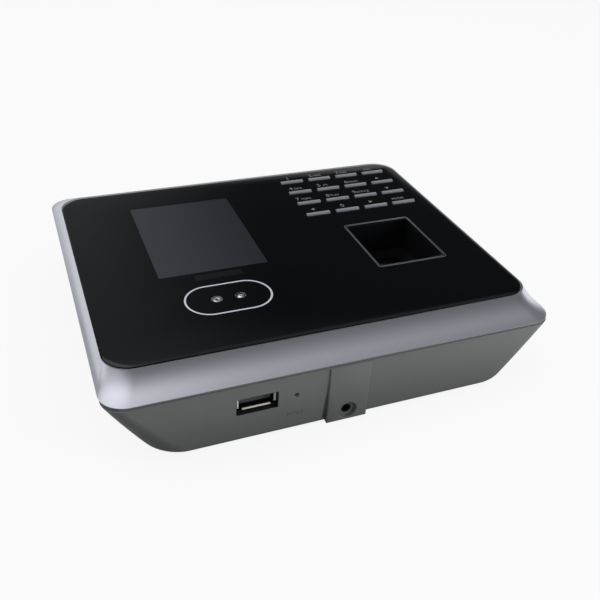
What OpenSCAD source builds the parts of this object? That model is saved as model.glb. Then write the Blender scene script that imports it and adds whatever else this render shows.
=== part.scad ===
// Fingerprint, face and code terminal with a wall plate.
// Millimetres. X runs along the width, Y towards the top edge, Z out of the face.
// The origin is the middle of the back plane.

/* [Body] */
// Width over the bezel lip
body_w = 167.5; // [164:0.5:180]
// Height over the bezel lip
body_h = 148.8; // [146:0.2:160]
// Depth from the back plane to the face of the panel
body_d = 32.2; // [31.4:0.1:36]
// Wall thickness of the rear case
wall = 2.2; // [1.8:0.1:2.4]
// Width of the rear case where it meets the wall
back_w = 140.8; // [138:0.2:146]

/* [Front panel] */
// Width of the black panel
panel_w = 160; // [158:0.5:161]
// Height of the black panel
panel_h = 124.1; // [122:0.1:126]
// Thickness of the black panel
panel_t = 1.6; // [1.4:0.1:1.8]
// Corner radius of the black panel
panel_r = 9.7; // [8:0.1:11]

/* [Display] */
// Visible width of the display
screen_w = 43.1; // [40:0.1:44]
// Visible height of the display
screen_h = 57.9; // [54:0.1:58.5]

/* [Keypad] */
// Length of a key bar
key_w = 10.8; // [9:0.1:11.4]
// Width of a key bar
key_h = 2.1; // [1.6:0.1:2.4]
// Height of a key bar above the panel
key_rise = 0.8; // [0.5:0.1:1]
// Distance between key columns
key_dx = 14.05; // [13.6:0.05:14.2]
// Distance between key rows
key_dy = 11.1; // [10:0.1:11.4]
// Travel of a key
key_travel = 0.6; // [0.3:0.1:0.6]

/* [Finger well] */
// Outer width of the finger well
well_w = 30.6; // [28:0.1:32]
// Outer height of the finger well
well_h = 35.6; // [33:0.1:37]
// Depth of the finger well below its rim
well_depth = 15; // [13:0.1:15.4]

/* [Hidden] */
$fn = 48;
eps = 0.02;

// Levels above the back plane
face_z = body_d;
lip_z = face_z - 6.1;
bezel_z = face_z - 6.5;
case_z = bezel_z - 0.4;
under_cove_z = bezel_z + 0.5;
panel_z = face_z - panel_t;
ledge_z = panel_z - 0.2;
ledge_under_z = ledge_z - 1.5;
floor_z = 3.8;
board_z = 12;
board_t = 1.6;
board_top = board_z + board_t;
plate_t = 1.5;
recess_z = plate_t + 0.2;
mid_z = face_z - 7.6;
mid_t = 1.4;
mid_top = mid_z + mid_t;

// Bezel frame
corner_steps = 8;
cove_steps = 9;
cove_power = 2;
lip_r = 8.9;
rim_w = 0.55;
rim_drop = 0.45;
cove_foot = face_z - 5.75;
ledge_inset = 3.3;
tongue_w = 1.4;
tongue_z = case_z - 1.6;
tongue_hx = body_w / 2 - 3.75;
tongue_hy = body_h / 2 - 3.2;

// Rear case
case_top_hx = body_w / 2 - 0.15;
case_top_hy = body_h / 2 - 0.55;
case_top_r = 6.5;
case_back_hx = back_w / 2;
case_back_hy = body_h / 2 - 0.8;
case_back_r = 14.6;
back_edge_r = 2.8;
case_bulge = 0.4;
post_x = 58;
post_y = 66;
post_r = 3.6;
post_top = case_z - 1.4;
rest_x = 65;
rest_y = 42;
post_bore_r = 1.6;
screw_seat_z = 3;
screw_head_r = 2.8;
screw_r = 1.45;
board_screw_r = 1.07;

// Lock boss in the bottom wall
boss_w = 15.4;
boss_face_y = -body_h / 2 + 0.1;
boss_top_z = case_z - 0.7;
lock_z = 4.3;
lock_bore_r = 1.9;
lock_sink_r = 3.5;
lock_sink = 1.2;
lock_wall_y = -70.2;
lock_pocket_top = 9;
lock_pocket_y = -56;
lock_shell = 1.6;

// Wall plate and the recess that holds it
plate_w = 112;
plate_h = 104;
plate_y = -4;
plate_gap = 0.3;
plate_hole_dx = 96;
plate_hole_dy = 84;
plate_hole_r = 2.2;
relief_r = 5.6;
relief_z = 4.8;
hook_x = 30;
hook_w = 8;
hook_ys = [-34, 30];
hook_reach = 3;
hook_slot = hook_reach + plate_t + 0.8;
lock_tab_y = -66;
lock_tab_w = 10;

// Cable recess in the back
cable_x = -4.5;
cable_y = 3;
cable_w = 63;
cable_h = 34;
cable_top = 9.6;
cable_wall = 1.9;
outlet_w = 55;
outlet_h = 26;

// Display
screen_x = -31.05;
screen_y = 15.4;
glass_w = 46.6;
glass_h = 65.2;
glass_y = screen_y - screen_h / 2 - 1.6 + glass_h / 2;
glass_top = panel_z - 0.1;
display_z = glass_top - 3.2;

// Lens ring and infrared window
ring_x = -31.1;
ring_y = -32.75;
ring_r = 9.08;
ring_half = 6.96;
ring_line = 0.9;
ring_sink = 0.4;
lens_dx = 8.95;
lens_r = 2.2;
barrel_r = 3.5;
window_t = 1.2;
led_x = -30.5;
led_y = -17.2;
led_w = 18.5;
led_h = 3.6;
led_count = 4;
led_board_y = led_y - 1.2;
led_board_z = panel_z - 3;
camera_board_z = mid_z - 5.2;

// Keypad
key_x = 25.15;
key_y = 52.2;
key_gap = 0.15;
key_flange = 0.7;
key_flange_t = 0.9;
key_flange_top = panel_z - 0.1;
key_stem_r = 1.2;
pad_top = key_flange_top - key_flange_t - 0.7;
mat_z = mid_top + 1.6;
mat_t = 0.6;
keys_mid_x = key_x + 1.5 * key_dx;
keys_mid_y = key_y - 1.5 * key_dy;
keypad_w = 3 * key_dx + 16;
keypad_h = 3 * key_dy + 9;

// Finger well
well_x = 46.35;
well_y = -12.6;
well_r = 1.4;
well_rim = 0.3;
well_line = 1.1;
well_cavity_r = 3;
well_flange = 1.7;
well_flange_z = panel_z - 1.2;
well_floor = face_z + well_rim - well_depth;
well_floor_t = 1.5;
scallop_depth = 1.8;
scallop_side = 2.5;
sensor_w = 17;
sensor_h = 21;
sensor_z = 7;
sensor_board_t = 1.2;

// Connectors
usb_x = -33.5;
usb_w = 13.4;
usb_h = 5.7;
usb_front_y = -72.5;
usb_length = 14;
usb_sheet = 0.4;
usb_window_w = 14.8;
usb_window_z = [12.6, 19.5];
tongue_in = 1.9;
reset_x = -19.5;
reset_y = -69.6;
reset_z = 16.1;
pinhole_r = 0.8;
plunger_r = 1.1;
socket_x = -24;
socket_w = 15.6;
socket_h = 13.4;
socket_z = 0.6;
header_h = 6;
header_z = 4.4;
pin_pitch = 2.54;
power_pins = 3;
door_pins = 5;
reader_pins = 6;

// Loose parts inside
tamper_x = -50;
tamper_y = 8;
tamper_r = 1.6;
speaker_x = 34;
speaker_y = 58;
speaker_r = 10;
cell_x = -36;
cell_y = 0;
board_w = 104;
board_y = [-69, 40];
board_hole_x = 48;
board_hole_y = [-60, 24];

// Outline helpers

function arc_points(cx, cy, r, from, steps) =
  [for (i = [0:steps]) [cx + r * cos(from + 90 * i / steps), cy + r * sin(from + 90 * i / steps)]];

function rounded_outline(hx, hy, r) = concat(
  arc_points(hx - r, hy - r, r, 0, corner_steps),
  arc_points(r - hx, hy - r, r, 90, corner_steps),
  arc_points(r - hx, r - hy, r, 180, corner_steps),
  arc_points(hx - r, r - hy, r, 270, corner_steps)
);

function ring_at(hx, hy, r, z) = [for (p = rounded_outline(hx, hy, r)) [p[0], p[1], z]];

function mix(a, b, t) = a + (b - a) * t;

// A closed solid through rounded outlines, listed from the lowest to the highest.
module loft(rings) {
  n = len(rings[0]);
  last = len(rings) - 1;
  points = [for (ring = rings, p = ring) p];
  low = [for (k = [0:n:last * n - n], i = [0:n - 1]) [k + i, k + n + i, k + n + (i + 1) % n]];
  high = [for (k = [0:n:last * n - n], i = [0:n - 1]) [k + i, k + n + (i + 1) % n, k + (i + 1) % n]];
  floor_face = [[for (i = [0:n - 1]) i]];
  roof_face = [[for (i = [n - 1:-1:0]) last * n + i]];
  polyhedron(points, concat(low, high, floor_face, roof_face));
}

module rounded_flat(w, h, r) {
  square([w - 2 * r, h], center = true);
  square([w, h - 2 * r], center = true);
  for (x = [-1, 1], y = [-1, 1]) translate([x * (w / 2 - r), y * (h / 2 - r)]) circle(r);
}

module plate_at(x, y, z0, z1, w, h, r) {
  translate([x, y, z0]) linear_extrude(z1 - z0) rounded_flat(w, h, r);
}

module box_at(x, y, z0, z1, w, h) {
  translate([x - w / 2, y - h / 2, z0]) cube([w, h, z1 - z0]);
}

module rod_at(x, y, z0, z1, r) {
  translate([x, y, z0]) cylinder(h = z1 - z0, r = r);
}

module stadium_at(x, y, z0, z1, half, r) {
  translate([x, y, z0]) linear_extrude(z1 - z0) {
    square([2 * half, 2 * r], center = true);
    for (s = [-1, 1]) translate([s * half, 0]) circle(r);
  }
}

module along_y(x, y, z, h, r) {
  translate([x, y, z]) rotate([-90, 0, 0]) cylinder(h = h, r = r);
}

module board_holes() {
  for (x = [-1, 1], y = board_hole_y) translate([x * board_hole_x, y, 0]) children();
}

module corners(dx, dy) {
  for (x = [-1, 1], y = [-1, 1]) translate([x * dx, y * dy, 0]) children();
}

module plate_holes() {
  translate([0, plate_y, 0]) corners(plate_hole_dx / 2, plate_hole_dy / 2) children();
}

// Housing

function cove_ring(s, z) = ring_at(
  mix(panel_w / 2, body_w / 2, s),
  mix(panel_h / 2, body_h / 2, s),
  mix(panel_r, lip_r, s),
  z
);

function cove_drop(t) = mix(rim_drop, face_z - cove_foot, 1 - pow(1 - t, cove_power));

rim_share = 2 * rim_w / (body_h - panel_h);
lip_share = 0.992;

module bezel_skin() {
  lip = [cove_ring(0.985, bezel_z), cove_ring(1, lip_z - 0.15), cove_ring(1, lip_z + 0.1)];
  cove = [
    for (i = [cove_steps:-1:0]) let (t = i / cove_steps)
      cove_ring(mix(rim_share, lip_share, t), face_z - cove_drop(t))
  ];
  loft(concat(lip, cove));
}

module bezel_frame() {
  inner_w = 2 * (tongue_hx - tongue_w);
  color([0.62, 0.63, 0.66]) difference() {
    union() {
      difference() {
        union() {
          bezel_skin();
          plate_at(0, 0, tongue_z, bezel_z + 1, 2 * tongue_hx, 2 * tongue_hy, 7);
        }
        plate_at(0, 0, ledge_z, face_z + 1, panel_w + 0.2, panel_h + 0.2, panel_r + 0.1);
        plate_at(0, 0, ledge_under_z - 1, face_z, panel_w - 2 * ledge_inset, panel_h - 2 * ledge_inset, 6);
        plate_at(0, 0, tongue_z - 1, under_cove_z, inner_w, 2 * (tongue_hy - tongue_w), 5.6);
        plate_at(0, 0, bezel_z, ledge_under_z, inner_w, panel_h + 4, 6);
      }
      corners(post_x, post_y) rod_at(0, 0, post_top, under_cove_z + 0.1, post_r - 0.2);
    }
    corners(post_x, post_y) rod_at(0, 0, post_top - 1, bezel_z + 1.2, screw_r + 0.05);
    box_at(0, boss_face_y, 0, boss_top_z + 0.2, boss_w + 0.4, 2 * (lock_wall_y - boss_face_y) + 0.4);
  }
}

function case_ring(z, inset) = let (t = z / case_z) ring_at(
  mix(case_back_hx, case_top_hx, t) + 4 * case_bulge * t * (1 - t) - inset,
  mix(case_back_hy, case_top_hy, t) - inset,
  mix(case_back_r, case_top_r, t) - min(inset, 5),
  z
);

module case_skin() {
  edge = [for (a = [0:18:90]) case_ring(back_edge_r * (1 - cos(a)), back_edge_r * (1 - sin(a)))];
  side = [for (i = [1:4]) case_ring(mix(back_edge_r, case_z, i / 4), 0)];
  loft(concat(edge, side));
}

module case_hollow() {
  loft([for (t = [0, 0.5, 1]) case_ring(mix(floor_z, case_z + 2, t), wall)]);
}

// What stands on the floor of the case
module case_fittings() {
  low = floor_z - eps;
  pocket_depth = lock_pocket_y - lock_wall_y;
  translate([-boss_w / 2, boss_face_y, 0]) cube([boss_w, lock_wall_y - boss_face_y, boss_top_z]);
  translate([-boss_w / 2, lock_wall_y - eps, low])
    cube([boss_w, pocket_depth + lock_shell, lock_pocket_top + lock_shell - low]);
  box_at(cable_x, cable_y, low, cable_top + cable_wall, cable_w + 2 * cable_wall, cable_h + 2 * cable_wall);
  plate_holes() rod_at(0, 0, low, relief_z + 1.6, relief_r + 1.6);
  corners(post_x, post_y) rod_at(0, 0, low, post_top, post_r);
  corners(rest_x, rest_y) rod_at(0, 0, low, mid_z, 2.5);
  board_holes() rod_at(0, 0, low, board_z, 3);
  for (s = [-1, 1]) box_at(well_x, well_y + s * 11, low, sensor_z - sensor_board_t, 20, 4);
  difference() {
    rod_at(speaker_x, speaker_y, low, floor_z + 3, speaker_r + 1.5);
    rod_at(speaker_x, speaker_y, low - 1, floor_z + 4, speaker_r + 0.1);
  }
}

// What is cut in from the back
module case_cuts() {
  box_at(0, plate_y, -1, recess_z, plate_w + 2 * plate_gap, plate_h + 2 * plate_gap);
  box_at(cable_x, cable_y, 0, cable_top, cable_w, cable_h);
  plate_holes() rod_at(0, 0, 0, relief_z, relief_r);
  box_at(socket_x, cable_y, cable_top - 1, board_z + 1, socket_w + 0.6, socket_h + 0.6);
  for (h = headers) box_at(h[0], h[1], cable_top - 1, board_z + 1, header_w(h[2]) + 0.6, header_h + 0.6);
  translate([lock_shell - boss_w / 2, lock_wall_y, -1])
    cube([boss_w - 2 * lock_shell, lock_pocket_y - lock_wall_y, lock_pocket_top + 1]);
  for (x = [-1, 1], y = hook_ys)
    translate([x * hook_x - hook_w / 2 - 0.5, y + plate_t / 2 + 0.1 - hook_slot, 0])
      cube([hook_w + 1, hook_slot, floor_z + 1]);
  corners(post_x, post_y) rod_at(0, 0, -1, screw_seat_z, screw_head_r + 0.3);
  corners(post_x, post_y) rod_at(0, 0, 0, case_z, post_bore_r);
  board_holes() rod_at(0, 0, floor_z + 1.5, board_z + 1, board_screw_r + 0.03);
  rod_at(tamper_x, tamper_y, 0, floor_z + 1, tamper_r + 0.1);
  for (x = [-2:2], y = [-2:2]) if (norm([x, y]) < 2.6)
    rod_at(speaker_x + 3 * x, speaker_y + 3 * y, -1, floor_z + 1, 0.8);
}

// What is cut in from the lower edge
module edge_cuts() {
  outside = boss_face_y - 2;
  along_y(0, outside, lock_z, 8, lock_bore_r);
  along_y(0, outside, lock_z, lock_sink + 2, lock_sink_r);
  along_y(reset_x, outside, reset_z, 8, pinhole_r);
  translate([usb_x - usb_window_w / 2, outside, usb_window_z[0]])
    cube([usb_window_w, 8, usb_window_z[1] - usb_window_z[0]]);
}

module rear_case() {
  color([0.33, 0.34, 0.34]) difference() {
    union() {
      difference() {
        case_skin();
        case_hollow();
      }
      case_fittings();
    }
    case_cuts();
    edge_cuts();
  }
}

module hook(x, y) {
  top = floor_z + 1.4;
  translate([x - hook_w / 2, y - plate_t / 2, plate_t - eps]) cube([hook_w, plate_t, top - plate_t]);
  translate([x - hook_w / 2, y - plate_t / 2, floor_z + 0.2]) cube([hook_w, hook_reach + plate_t, 1.2]);
}

module wall_plate() {
  color([0.72, 0.73, 0.74]) difference() {
    union() {
      plate_at(0, plate_y, 0, plate_t, plate_w, plate_h, 3);
      for (x = [-1, 1], y = hook_ys) hook(x * hook_x, y);
      translate([-lock_tab_w / 2, lock_tab_y, 0]) cube([lock_tab_w, 12, plate_t]);
      translate([-lock_tab_w / 2, lock_tab_y, 0]) cube([lock_tab_w, plate_t, lock_pocket_top - 1.4]);
    }
    box_at(cable_x, cable_y, -1, plate_t + 1, outlet_w, outlet_h);
    plate_holes() rod_at(0, 0, -1, 4, plate_hole_r);
    along_y(0, lock_tab_y - 1, lock_z, plate_t + 2, 1.25);
  }
}

module mid_frame() {
  collar_w = well_w + 2 * well_flange;
  collar_h = well_h + 2 * well_flange;
  color([0.16, 0.16, 0.17]) difference() {
    union() {
      plate_at(0, 0, mid_z, mid_top, panel_w - 3.4, panel_h - 4, 5);
      difference() {
        plate_at(0, 0, mid_z, ledge_under_z, panel_w - 3.4, panel_h - 4, 5);
        plate_at(0, 0, mid_z - 1, ledge_under_z + 1, panel_w - 7, panel_h - 7.6, 4);
      }
      box_at(screen_x, glass_y, mid_top - eps, display_z, glass_w + 1.2, glass_h + 1.2);
      box_at(well_x, well_y, mid_top - eps, well_flange_z, collar_w, collar_h);
      box_at(led_x, led_board_y, mid_top - eps, led_board_z, led_w - 6, 3);
      for (s = [-1, 1]) rod_at(ring_x + s * 12.5, ring_y, camera_board_z + 1.2, mid_z + eps, 1.8);
    }
    box_at(screen_x, glass_y, mid_z - 1, glass_top, glass_w - 12, glass_h - 14);
    plate_at(well_x, well_y, mid_z - 1, mid_top + 5, well_w + 0.8, well_h + 0.8, well_r);
    for (s = [-1, 1]) rod_at(ring_x + s * lens_dx / 2, ring_y, mid_z - 1, mid_top + 1, barrel_r + 0.3);
  }
}

module panel_tape() {
  color([0.1, 0.1, 0.1]) difference() {
    plate_at(0, 0, ledge_z, panel_z, panel_w - 0.8, panel_h - 0.8, panel_r - 0.4);
    plate_at(0, 0, ledge_z - 1, panel_z + 1, panel_w - 2 * ledge_inset, panel_h - 2 * ledge_inset, 6);
  }
}

// Face

module key_places() {
  for (column = [0:3], row = [0:3]) translate([key_x + column * key_dx, key_y - row * key_dy, 0]) children();
}

module panel_skin() {
  chamfer = 0.4;
  low = ring_at(panel_w / 2, panel_h / 2, panel_r, panel_z);
  shoulder = ring_at(panel_w / 2, panel_h / 2, panel_r, face_z - chamfer);
  top = ring_at(panel_w / 2 - chamfer, panel_h / 2 - chamfer, panel_r - chamfer, face_z);
  loft([low, shoulder, top]);
}

module front_panel() {
  color([0.06, 0.065, 0.07]) difference() {
    panel_skin();
    box_at(screen_x, screen_y, panel_z - 1, face_z + 1, screen_w + 0.1, screen_h + 0.1);
    plate_at(well_x, well_y, panel_z - 1, face_z + 1, well_w + 0.2, well_h + 0.2, well_r + 0.1);
    for (s = [-1, 1]) rod_at(ring_x + s * lens_dx / 2, ring_y, panel_z - 1, face_z + 1, lens_r + 0.05);
    box_at(led_x, led_y, panel_z - 1, face_z + 1, led_w + 0.1, led_h + 0.1);
    key_places() box_at(0, 0, panel_z - 1, face_z + 1, key_w + 2 * key_gap, key_h + 2 * key_gap);
    difference() {
      stadium_at(ring_x, ring_y, face_z - ring_sink, face_z + 1, ring_half, ring_r + ring_line / 2);
      stadium_at(ring_x, ring_y, face_z - 1, face_z + 2, ring_half, ring_r - ring_line / 2);
    }
  }
}

module screen_window() {
  color([0.2, 0.21, 0.23, 0.7]) box_at(screen_x, screen_y, face_z - window_t, face_z, screen_w, screen_h);
}

module display_glass() {
  color([0.24, 0.25, 0.27]) box_at(screen_x, glass_y, glass_top - 1.2, glass_top, glass_w, glass_h);
}

module display_backlight() {
  color([0.85, 0.86, 0.86]) box_at(screen_x, glass_y, display_z, glass_top - 1.2, glass_w - 2, glass_h - 2);
}

module display_frame() {
  color([0.7, 0.71, 0.72]) difference() {
    box_at(screen_x, glass_y, display_z, glass_top - 0.4, glass_w + 1.2, glass_h + 1.2);
    box_at(screen_x, glass_y, glass_top - 1.2, glass_top, glass_w + 0.2, glass_h + 0.2);
    box_at(screen_x, glass_y, display_z - 1, glass_top, glass_w - 1.8, glass_h - 1.8);
  }
}

// A flat strip of width w that rises from the board at low_y to top_z at high_y.
module ribbon(x, low_y, high_y, w, top_z) {
  t = 0.3;
  bend = board_top + 5;
  translate([x - w / 2, 0, 0]) rotate([90, 0, 90]) linear_extrude(w) polygon([
    [low_y, board_top], [low_y + t, board_top], [low_y + t, bend], [high_y, bend],
    [high_y, top_z], [high_y - t, top_z], [high_y - t, bend + t], [low_y, bend + t]
  ]);
}

module flat_cables() {
  color([0.75, 0.5, 0.15]) {
    ribbon(screen_x, 14, 20, 18, display_z);
    ribbon(30, 10, 30, 8, mid_z);
    translate([0, -8, 0]) rotate([90, 0, 0]) linear_extrude(8) polygon([
      [27, board_z - 0.3], [32.2, board_z - 0.3], [32.2, sensor_z], [34.2, sensor_z],
      [34.2, sensor_z + 0.3], [32.5, sensor_z + 0.3], [32.5, board_z], [27, board_z]
    ]);
  }
}

module ring_trim() {
  color([0.8, 0.8, 0.84]) difference() {
    stadium_at(ring_x, ring_y, face_z - ring_sink, face_z, ring_half, ring_r + ring_line / 2);
    stadium_at(ring_x, ring_y, face_z - 1, face_z + 1, ring_half, ring_r - ring_line / 2);
  }
}

module lens_windows() {
  color([0.5, 0.52, 0.55, 0.5]) for (s = [-1, 1]) {
    rod_at(ring_x + s * lens_dx / 2, ring_y, face_z - window_t, face_z, lens_r);
  }
}

module camera_at(side) {
  x = ring_x + side * lens_dx / 2;
  difference() {
    union() {
      rod_at(x, ring_y, mid_z - 1, panel_z - 0.1, barrel_r);
      box_at(x, ring_y, mid_z - 4, mid_z - 0.2, lens_dx - 0.5, lens_dx - 0.5);
    }
    translate([x, ring_y, panel_z - 2.1]) cylinder(h = 2.4, r1 = 1, r2 = 2.6);
  }
  translate([x, ring_y, panel_z - 3.1]) intersection() {
    sphere(1.5);
    translate([-2, -2, 0.9]) cube([4, 4, 2]);
  }
}

module colour_camera() {
  color([0.25, 0.25, 0.27]) camera_at(-1);
}

module infrared_camera() {
  color([0.2, 0.2, 0.22]) camera_at(1);
}

module camera_board() {
  color([0.1, 0.3, 0.18]) box_at(ring_x, ring_y, camera_board_z, camera_board_z + 1.2, 30, 14);
}

module infrared_window() {
  color([0.14, 0.14, 0.15, 0.8]) box_at(led_x, led_y, face_z - window_t, face_z, led_w, led_h);
}

module infrared_leds() {
  color([0.7, 0.7, 0.75]) for (i = [0:led_count - 1]) {
    x = led_x + (i - (led_count - 1) / 2) * 4.4;
    rod_at(x, led_y, led_board_z + 1, panel_z - 0.6, 1.2);
  }
}

module led_board() {
  color([0.1, 0.3, 0.18]) box_at(led_x, led_board_y, led_board_z, led_board_z + 1, led_w + 1, 4.8);
}

// Keypad

module key_cap(column, row) {
  x = key_x + column * key_dx;
  y = key_y - row * key_dy;
  crown = key_h / 2;
  bar_top = face_z + key_rise;
  flange_z = key_flange_top - key_flange_t;
  color([0.42, 0.43, 0.46]) {
    box_at(x, y, key_flange_top - eps, bar_top - crown + 0.3, key_w, key_h);
    intersection() {
      translate([x - key_w / 2, y, bar_top - crown]) rotate([0, 90, 0]) cylinder(h = key_w, r = crown);
      box_at(x, y, face_z - 1, bar_top + 1, key_w, key_h);
    }
    box_at(x, y, flange_z, key_flange_top, key_w + 2 * key_flange, key_h + 2 * key_flange);
    rod_at(x, y, pad_top - 0.05, flange_z + eps, key_stem_r);
  }
}

module keypad_mat() {
  color([0.55, 0.56, 0.56]) {
    box_at(keys_mid_x, keys_mid_y, mat_z, mat_z + mat_t, keypad_w - 1, keypad_h - 1);
    difference() {
      key_places() rod_at(0, 0, mat_z + mat_t - eps, pad_top, key_stem_r + 0.9);
      key_places() rod_at(0, 0, mat_z + mat_t, pad_top + 1, key_stem_r + 0.3);
    }
  }
}

module keypad_board() {
  color([0.1, 0.3, 0.18]) box_at(keys_mid_x, keys_mid_y, mid_top, mat_z, keypad_w, keypad_h);
}

// Fingerprint sensor

module well_cavity_flat() {
  w = well_w - 2 * well_line;
  h = well_h - 2 * well_line;
  chord = w / 2;
  scallop_r = (chord * chord + scallop_depth * scallop_depth) / (2 * scallop_depth);
  intersection() {
    translate([0, scallop_side / 2]) rounded_flat(w, h + scallop_side, well_cavity_r);
    translate([0, -h / 2 + 0.7 + scallop_r]) circle(scallop_r, $fn = 180);
    translate([0, 0.35]) square([w + 1, h - 0.7], center = true);
  }
}

module finger_well() {
  top = face_z + well_rim;
  color([0.12, 0.12, 0.13]) difference() {
    union() {
      plate_at(well_x, well_y, well_floor - well_floor_t, top, well_w, well_h, well_r);
      plate_at(well_x, well_y, well_flange_z, panel_z - 0.1,
        well_w + 2 * well_flange, well_h + 2 * well_flange, well_r);
    }
    translate([well_x, well_y, well_floor]) linear_extrude(well_depth + 1) well_cavity_flat();
    plate_at(well_x, well_y, top - 0.6, top + 1, well_w - 2 * well_line, well_h - 2 * well_line, 0.8);
    box_at(well_x, well_y, well_floor - 3, well_floor + 1, sensor_w + 0.1, sensor_h + 0.1);
  }
}

module sensor_glass() {
  color([0.35, 0.2, 0.2, 0.6]) box_at(well_x, well_y, well_floor - 2.6, well_floor + 0.2, sensor_w, sensor_h);
}

module sensor_block() {
  color([0.08, 0.08, 0.09]) difference() {
    box_at(well_x, well_y, sensor_z, well_floor - well_floor_t, 24, 28);
    box_at(well_x, well_y, well_floor - 2.6, well_floor, sensor_w + 0.1, sensor_h + 0.1);
  }
}

module sensor_board() {
  color([0.1, 0.3, 0.18]) box_at(well_x, well_y, sensor_z - sensor_board_t, sensor_z, 26, 30);
}

// Electronics

function header_w(pins) = pins * pin_pitch + 3;

headers = [[-4, cable_y + 7, power_pins], [12, cable_y + 7, door_pins], [10, cable_y - 6, reader_pins]];

module main_board() {
  y = (board_y[0] + board_y[1]) / 2;
  color([0.08, 0.3, 0.2]) difference() {
    box_at(0, y, board_z, board_top, board_w, board_y[1] - board_y[0]);
    box_at(well_x + 4, well_y, board_z - 1, board_top + 1, 38, 34);
    board_holes() rod_at(0, 0, board_z - 1, board_top + 1, board_screw_r + 0.3);
  }
}

module processor_shield() {
  color([0.72, 0.72, 0.72]) difference() {
    box_at(4, -24, board_top, board_top + 3, 32, 26);
    box_at(4, -24, board_top - 1, board_top + 2.7, 31.4, 25.4);
  }
}

module board_chips() {
  color([0.07, 0.07, 0.08]) {
    box_at(0, -24, board_top, board_top + 1.4, 16, 16);
    box_at(14, -24, board_top, board_top + 1, 8, 12);
    for (x = [-8, 8, 22]) box_at(x, 24, board_top, board_top + 1.2, 10, 7);
  }
}

module usb_shell() {
  z0 = board_top;
  color([0.85, 0.85, 0.83]) difference() {
    translate([usb_x - usb_w / 2, usb_front_y, z0]) cube([usb_w, usb_length, usb_h]);
    translate([usb_x - usb_w / 2 + usb_sheet, usb_front_y - 1, z0 + usb_sheet])
      cube([usb_w - 2 * usb_sheet, usb_length + 0.6, usb_h - 2 * usb_sheet]);
  }
}

module usb_tongue() {
  y0 = usb_front_y + tongue_in;
  base_y = usb_front_y + usb_length - 3.4;
  color([0.3, 0.3, 0.32]) {
    translate([usb_x - 5.6, y0, board_top + 1.3]) cube([11.2, base_y - y0 + eps, 1.8]);
    translate([usb_x - usb_w / 2 + usb_sheet, base_y, board_top + usb_sheet])
      cube([usb_w - 2 * usb_sheet, 3, usb_h - 2 * usb_sheet]);
  }
}

module reset_switch() {
  color([0.12, 0.12, 0.12]) difference() {
    translate([reset_x - 3, reset_y, board_top]) cube([6, 4, 5]);
    along_y(reset_x, reset_y - 1, reset_z, 3.8, plunger_r + 0.08);
  }
}

module reset_plunger() {
  color([0.85, 0.82, 0.7]) along_y(reset_x, reset_y - 1.4, reset_z, 3.6, plunger_r);
}

module tamper_switch() {
  color([0.12, 0.12, 0.12]) difference() {
    box_at(tamper_x, tamper_y, floor_z, floor_z + 6, 8, 8);
    rod_at(tamper_x, tamper_y, floor_z - 1, floor_z + 4.4, tamper_r + 0.08);
  }
}

module tamper_plunger() {
  color([0.85, 0.85, 0.82]) rod_at(tamper_x, tamper_y, plate_t + 0.1, floor_z + 3.6, tamper_r);
}

module network_socket() {
  color([0.12, 0.12, 0.13]) difference() {
    box_at(socket_x, cable_y, socket_z, board_z, socket_w, socket_h);
    box_at(socket_x, cable_y - 1, socket_z - 1, board_z - 1.4, 11.8, 7.2);
    box_at(socket_x, cable_y + 3.6, socket_z - 1, board_z - 1.4, 6, 3);
  }
}

module cable_headers() {
  color([0.88, 0.88, 0.84]) for (h = headers) difference() {
    box_at(h[0], h[1], header_z, board_z, header_w(h[2]), header_h);
    box_at(h[0], h[1] + 0.2, header_z - 1, board_z - 2, header_w(h[2]) - 1.6, 3.8);
  }
}

module header_pins() {
  color([0.8, 0.65, 0.3]) for (h = headers, i = [0:h[2] - 1]) {
    box_at(h[0] + (i - (h[2] - 1) / 2) * pin_pitch, h[1], header_z + 1, board_z - 2, 0.64, 0.64);
  }
}

module speaker() {
  color([0.15, 0.15, 0.16]) {
    rod_at(speaker_x, speaker_y, floor_z, floor_z + 1.2, speaker_r);
    rod_at(speaker_x, speaker_y, floor_z + 1.2 - eps, floor_z + 4.6, speaker_r - 3.5);
  }
}

module coin_cell() {
  color([0.8, 0.8, 0.8]) rod_at(cell_x, cell_y, board_top + 1, board_top + 4.2, 10);
}

module cell_holder() {
  color([0.1, 0.1, 0.11]) difference() {
    rod_at(cell_x, cell_y, board_top, board_top + 3.6, 11.5);
    rod_at(cell_x, cell_y, board_top + 1, board_top + 5, 10.1);
  }
}

// Fasteners

module case_screws() {
  color([0.3, 0.3, 0.31]) corners(post_x, post_y) difference() {
    union() {
      rod_at(0, 0, 0.9, screw_seat_z, screw_head_r);
      rod_at(0, 0, screw_seat_z - eps, bezel_z + 0.8, screw_r);
    }
    for (a = [0, 90]) rotate(a) box_at(0, 0, 0, 1.9, 3.2, 0.7);
  }
}

module board_screws() {
  color([0.75, 0.75, 0.75]) board_holes() {
    rod_at(0, 0, board_top, board_top + 1.6, 2.4);
    rod_at(0, 0, floor_z + 2, board_top + eps, board_screw_r);
  }
}

front_panel();
bezel_frame();
rear_case();
wall_plate();
mid_frame();
panel_tape();
screen_window();
display_glass();
display_frame();
display_backlight();
flat_cables();
ring_trim();
lens_windows();
colour_camera();
infrared_camera();
camera_board();
infrared_window();
infrared_leds();
led_board();
key_cap(0, 0);  // key_1
key_cap(1, 0);  // key_2
key_cap(2, 0);  // key_3
key_cap(3, 0);  // key_escape
key_cap(0, 1);  // key_4
key_cap(1, 1);  // key_5
key_cap(2, 1);  // key_6
key_cap(3, 1);  // key_up
key_cap(0, 2);  // key_7
key_cap(1, 2);  // key_8
key_cap(2, 2);  // key_9
key_cap(3, 2);  // key_down
key_cap(0, 3);  // key_left
key_cap(1, 3);  // key_0
key_cap(2, 3);  // key_right
key_cap(3, 3);  // key_ok
keypad_mat();
keypad_board();
finger_well();
sensor_glass();
sensor_block();
sensor_board();
main_board();
processor_shield();
board_chips();
usb_shell();
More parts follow.
